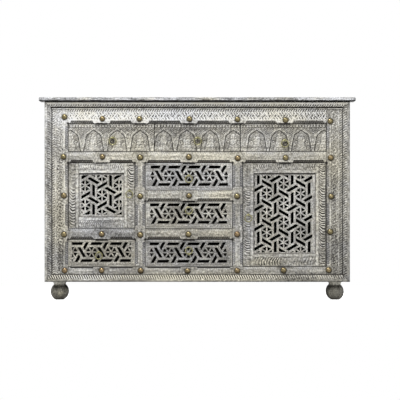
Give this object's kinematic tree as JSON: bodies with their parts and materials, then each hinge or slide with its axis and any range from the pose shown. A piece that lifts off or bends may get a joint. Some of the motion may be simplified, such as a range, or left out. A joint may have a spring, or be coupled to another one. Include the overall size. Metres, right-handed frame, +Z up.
{
  "type": "carved sideboard cabinet",
  "caption": "Limed carved-wood sideboard with pierced lattice doors and drawers, arcaded top drawers, brass dome studs, ring pulls and turned bun feet.",
  "frame": {"origin": "on the floor, under the middle of the overall box", "axes": "+X towards the tall door's side (right seen from the front), +Y towards the back, +Z up; the front faces -Y"},
  "size_m": [1.4, 0.43, 0.895],
  "materials": {
    "limed_carved_wood": "limed grey over carving",
    "limed_pierced_wood": "limed grey fretwork",
    "limed_plain_wood": "limed grey, brushed",
    "dark_stained_wood": "dark stain inside",
    "aged_brass": "aged, olive tarnish",
    "steel_pin": "plain"
  },
  "bodies": {
    "case": {"back_panel": "dark_stained_wood", "bottom_board": "dark_stained_wood", "bun_feet": "limed_plain_wood", "dividers": "dark_stained_wood", "door_pivot_pins": "steel_pin", "dust_board": "dark_stained_wood", "face_moulding": "limed_carved_wood", "foot_blocks": "dark_stained_wood", "frame_rail_bottom": "limed_carved_wood", "frame_rail_left": "limed_carved_wood", "frame_rail_top": "limed_carved_wood", "frame_rail_upper": "limed_carved_wood", "frame_rails_centre": "limed_carved_wood", "frame_stile_left": "limed_carved_wood", "frame_stile_mid_left": "limed_carved_wood", "frame_stile_mid_right": "limed_carved_wood", "frame_stile_right": "limed_carved_wood", "frame_studs": "aged_brass", "left_cupboard_floor": "dark_stained_wood", "runner_and_stop_strips": "dark_stained_wood", "side_field_panels": "limed_plain_wood", "side_frames": "limed_plain_wood", "top_board": "limed_plain_wood", "top_partitions": "dark_stained_wood"},
    "top_left_drawer": {"top_left_drawer_front": "limed_carved_wood", "top_left_drawer_box": "dark_stained_wood", "top_left_drawer_pull_eye": "aged_brass"},
    "top_left_drawer_ring": {"top_left_drawer_pull_ring": "aged_brass"},
    "top_middle_drawer": {"top_middle_drawer_front": "limed_carved_wood", "top_middle_drawer_box": "dark_stained_wood", "top_middle_drawer_pull_eye": "aged_brass"},
    "top_middle_drawer_ring": {"top_middle_drawer_pull_ring": "aged_brass"},
    "top_right_drawer": {"top_right_drawer_front": "limed_carved_wood", "top_right_drawer_box": "dark_stained_wood", "top_right_drawer_pull_eye": "aged_brass"},
    "top_right_drawer_ring": {"top_right_drawer_pull_ring": "aged_brass"},
    "centre_upper_drawer": {"centre_upper_drawer_front": "limed_carved_wood", "centre_upper_drawer_box": "dark_stained_wood", "centre_upper_drawer_pull_eye": "aged_brass"},
    "centre_upper_drawer_ring": {"centre_upper_drawer_pull_ring": "aged_brass"},
    "centre_middle_drawer": {"centre_middle_drawer_front": "limed_carved_wood", "centre_middle_drawer_box": "dark_stained_wood", "centre_middle_drawer_pull_eye": "aged_brass"},
    "centre_middle_drawer_ring": {"centre_middle_drawer_pull_ring": "aged_brass"},
    "centre_lower_drawer": {"centre_lower_drawer_front": "limed_carved_wood", "centre_lower_drawer_box": "dark_stained_wood", "centre_lower_drawer_pull_eye": "aged_brass"},
    "centre_lower_drawer_ring": {"centre_lower_drawer_pull_ring": "aged_brass"},
    "left_drawer": {"left_drawer_front": "limed_carved_wood", "left_drawer_box": "dark_stained_wood", "left_drawer_pull_eye": "aged_brass"},
    "left_drawer_ring": {"left_drawer_pull_ring": "aged_brass"},
    "left_door": {"left_door_frame": "limed_carved_wood", "left_door_panel": "limed_pierced_wood", "left_door_pull_eye": "aged_brass"},
    "left_door_ring": {"left_door_pull_ring": "aged_brass"},
    "right_door": {"right_door_frame": "limed_carved_wood", "right_door_panel": "limed_pierced_wood", "right_door_pull_eye": "aged_brass"},
    "right_door_ring": {"right_door_pull_ring": "aged_brass"}
  },
  "joints": [
    {"name": "top_left_drawer_slide", "type": "slide", "parent": "case", "child": "top_left_drawer", "axis": [0, -1, 0], "range_m": [0, 0.25]},
    {"name": "top_left_drawer_ring_swing", "type": "hinge", "parent": "top_left_drawer", "child": "top_left_drawer_ring", "pos_m": [-0.37417, -0.179, 0.71675], "axis": [-1, 0, 0], "range_deg": [-8, 188]},
    {"name": "top_middle_drawer_slide", "type": "slide", "parent": "case", "child": "top_middle_drawer", "axis": [0, -1, 0], "range_m": [0, 0.25]},
    {"name": "top_middle_drawer_ring_swing", "type": "hinge", "parent": "top_middle_drawer", "child": "top_middle_drawer_ring", "pos_m": [0.002, -0.179, 0.71675], "axis": [-1, 0, 0], "range_deg": [-8, 188]},
    {"name": "top_right_drawer_slide", "type": "slide", "parent": "case", "child": "top_right_drawer", "axis": [0, -1, 0], "range_m": [0, 0.25]},
    {"name": "top_right_drawer_ring_swing", "type": "hinge", "parent": "top_right_drawer", "child": "top_right_drawer_ring", "pos_m": [0.38767, -0.179, 0.70575], "axis": [-1, 0, 0], "range_deg": [-8, 188]},
    {"name": "centre_upper_drawer_slide", "type": "slide", "parent": "case", "child": "centre_upper_drawer", "axis": [0, -1, 0], "range_m": [0, 0.25]},
    {"name": "centre_upper_drawer_ring_swing", "type": "hinge", "parent": "centre_upper_drawer", "child": "centre_upper_drawer_ring", "pos_m": [-0.037, -0.179, 0.549], "axis": [-1, 0, 0], "range_deg": [-8, 188]},
    {"name": "centre_middle_drawer_slide", "type": "slide", "parent": "case", "child": "centre_middle_drawer", "axis": [0, -1, 0], "range_m": [0, 0.25]},
    {"name": "centre_middle_drawer_ring_swing", "type": "hinge", "parent": "centre_middle_drawer", "child": "centre_middle_drawer_ring", "pos_m": [-0.037, -0.179, 0.3795], "axis": [1, 0, 0], "range_deg": [0, 196.6]},
    {"name": "centre_lower_drawer_slide", "type": "slide", "parent": "case", "child": "centre_lower_drawer", "axis": [0, -1, 0], "range_m": [0, 0.25]},
    {"name": "centre_lower_drawer_ring_swing", "type": "hinge", "parent": "centre_lower_drawer", "child": "centre_lower_drawer_ring", "pos_m": [-0.037, -0.179, 0.202], "axis": [1, 0, 0], "range_deg": [0, 196.6]},
    {"name": "left_drawer_slide", "type": "slide", "parent": "case", "child": "left_drawer", "axis": [0, -1, 0], "range_m": [0, 0.25]},
    {"name": "left_drawer_ring_swing", "type": "hinge", "parent": "left_drawer", "child": "left_drawer_ring", "pos_m": [-0.43525, -0.179, 0.21], "axis": [-1, 0, 0], "range_deg": [-8, 188]},
    {"name": "left_door_hinge", "type": "hinge", "parent": "case", "child": "left_door", "pos_m": [-0.5605, -0.163, 0.4605], "axis": [0, 0, -1], "range_deg": [0, 90]},
    {"name": "left_door_ring_swing", "type": "hinge", "parent": "left_door", "child": "left_door_ring", "pos_m": [-0.3005, -0.179, 0.4815], "axis": [-1, 0, 0], "range_deg": [-8, 188]},
    {"name": "right_door_hinge", "type": "hinge", "parent": "case", "child": "right_door", "pos_m": [0.5605, -0.163, 0.3755], "axis": [0, 0, 1], "range_deg": [0, 90]},
    {"name": "right_door_ring_swing", "type": "hinge", "parent": "right_door", "child": "right_door_ring", "pos_m": [0.2265, -0.179, 0.3755], "axis": [-1, 0, 0], "range_deg": [-8, 188]}
  ]
}
